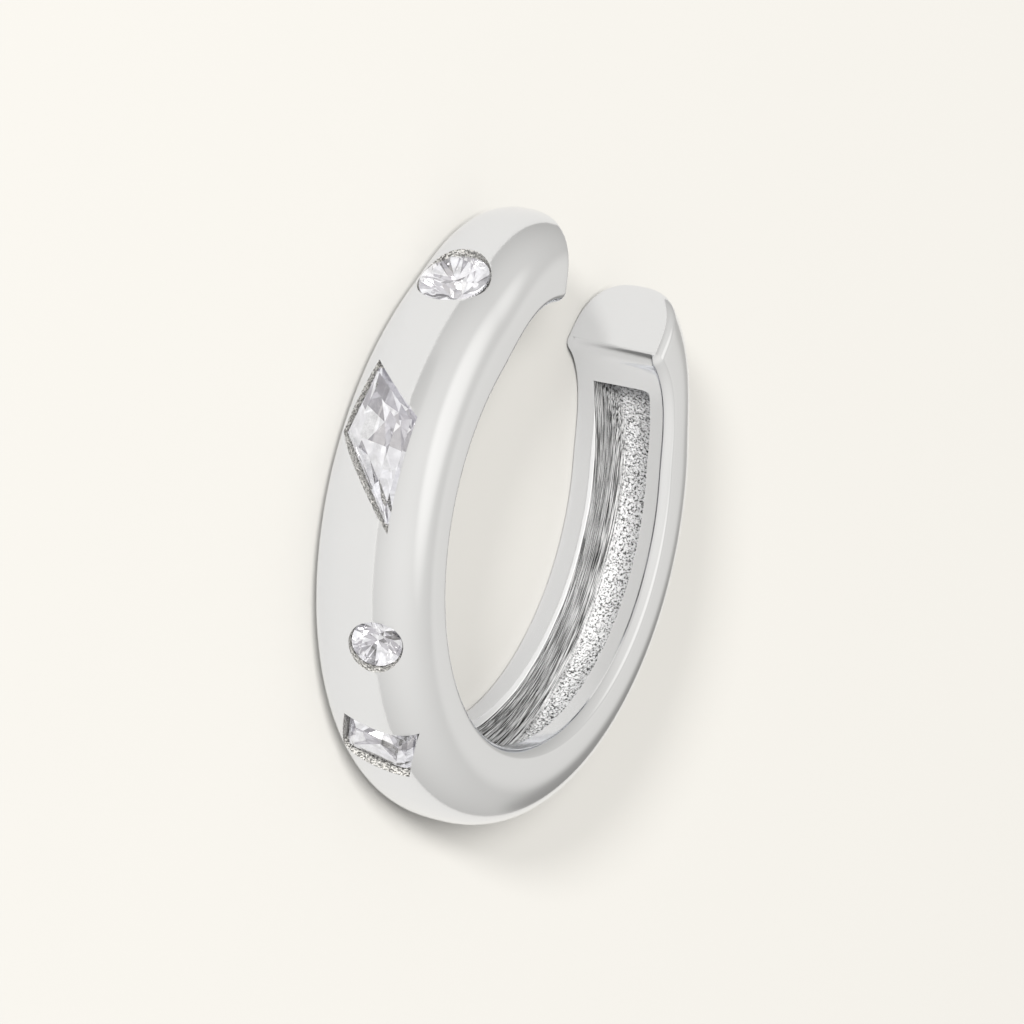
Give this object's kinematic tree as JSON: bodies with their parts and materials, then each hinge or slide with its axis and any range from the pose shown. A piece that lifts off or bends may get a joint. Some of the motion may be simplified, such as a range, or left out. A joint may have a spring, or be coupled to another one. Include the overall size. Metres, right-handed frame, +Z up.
{
  "type": "ear cuff",
  "caption": "Open ring ear cuff with a domed band, hollow along its back, and clear stones set flush in round, kite and rectangular pockets.",
  "frame": {"origin": "under the middle of the cuff's box, on the plane that the cuff lies on", "axes": "+Z up, along the ring's axis within a degree; +Y towards the gap; +X across the gap"},
  "size_m": [0.014, 0.0134, 0.0028],
  "materials": {
    "silver": "polished silver, left as cast inside the hollow back and the pockets",
    "clear_stone": "faceted and polished, colourless"
  },
  "bodies": {
    "root": {"band": "silver", "stone_large_round": "clear_stone", "stone_kite": "clear_stone", "stone_small_round": "clear_stone", "stone_baguette": "clear_stone"}
  },
  "joints": []
}
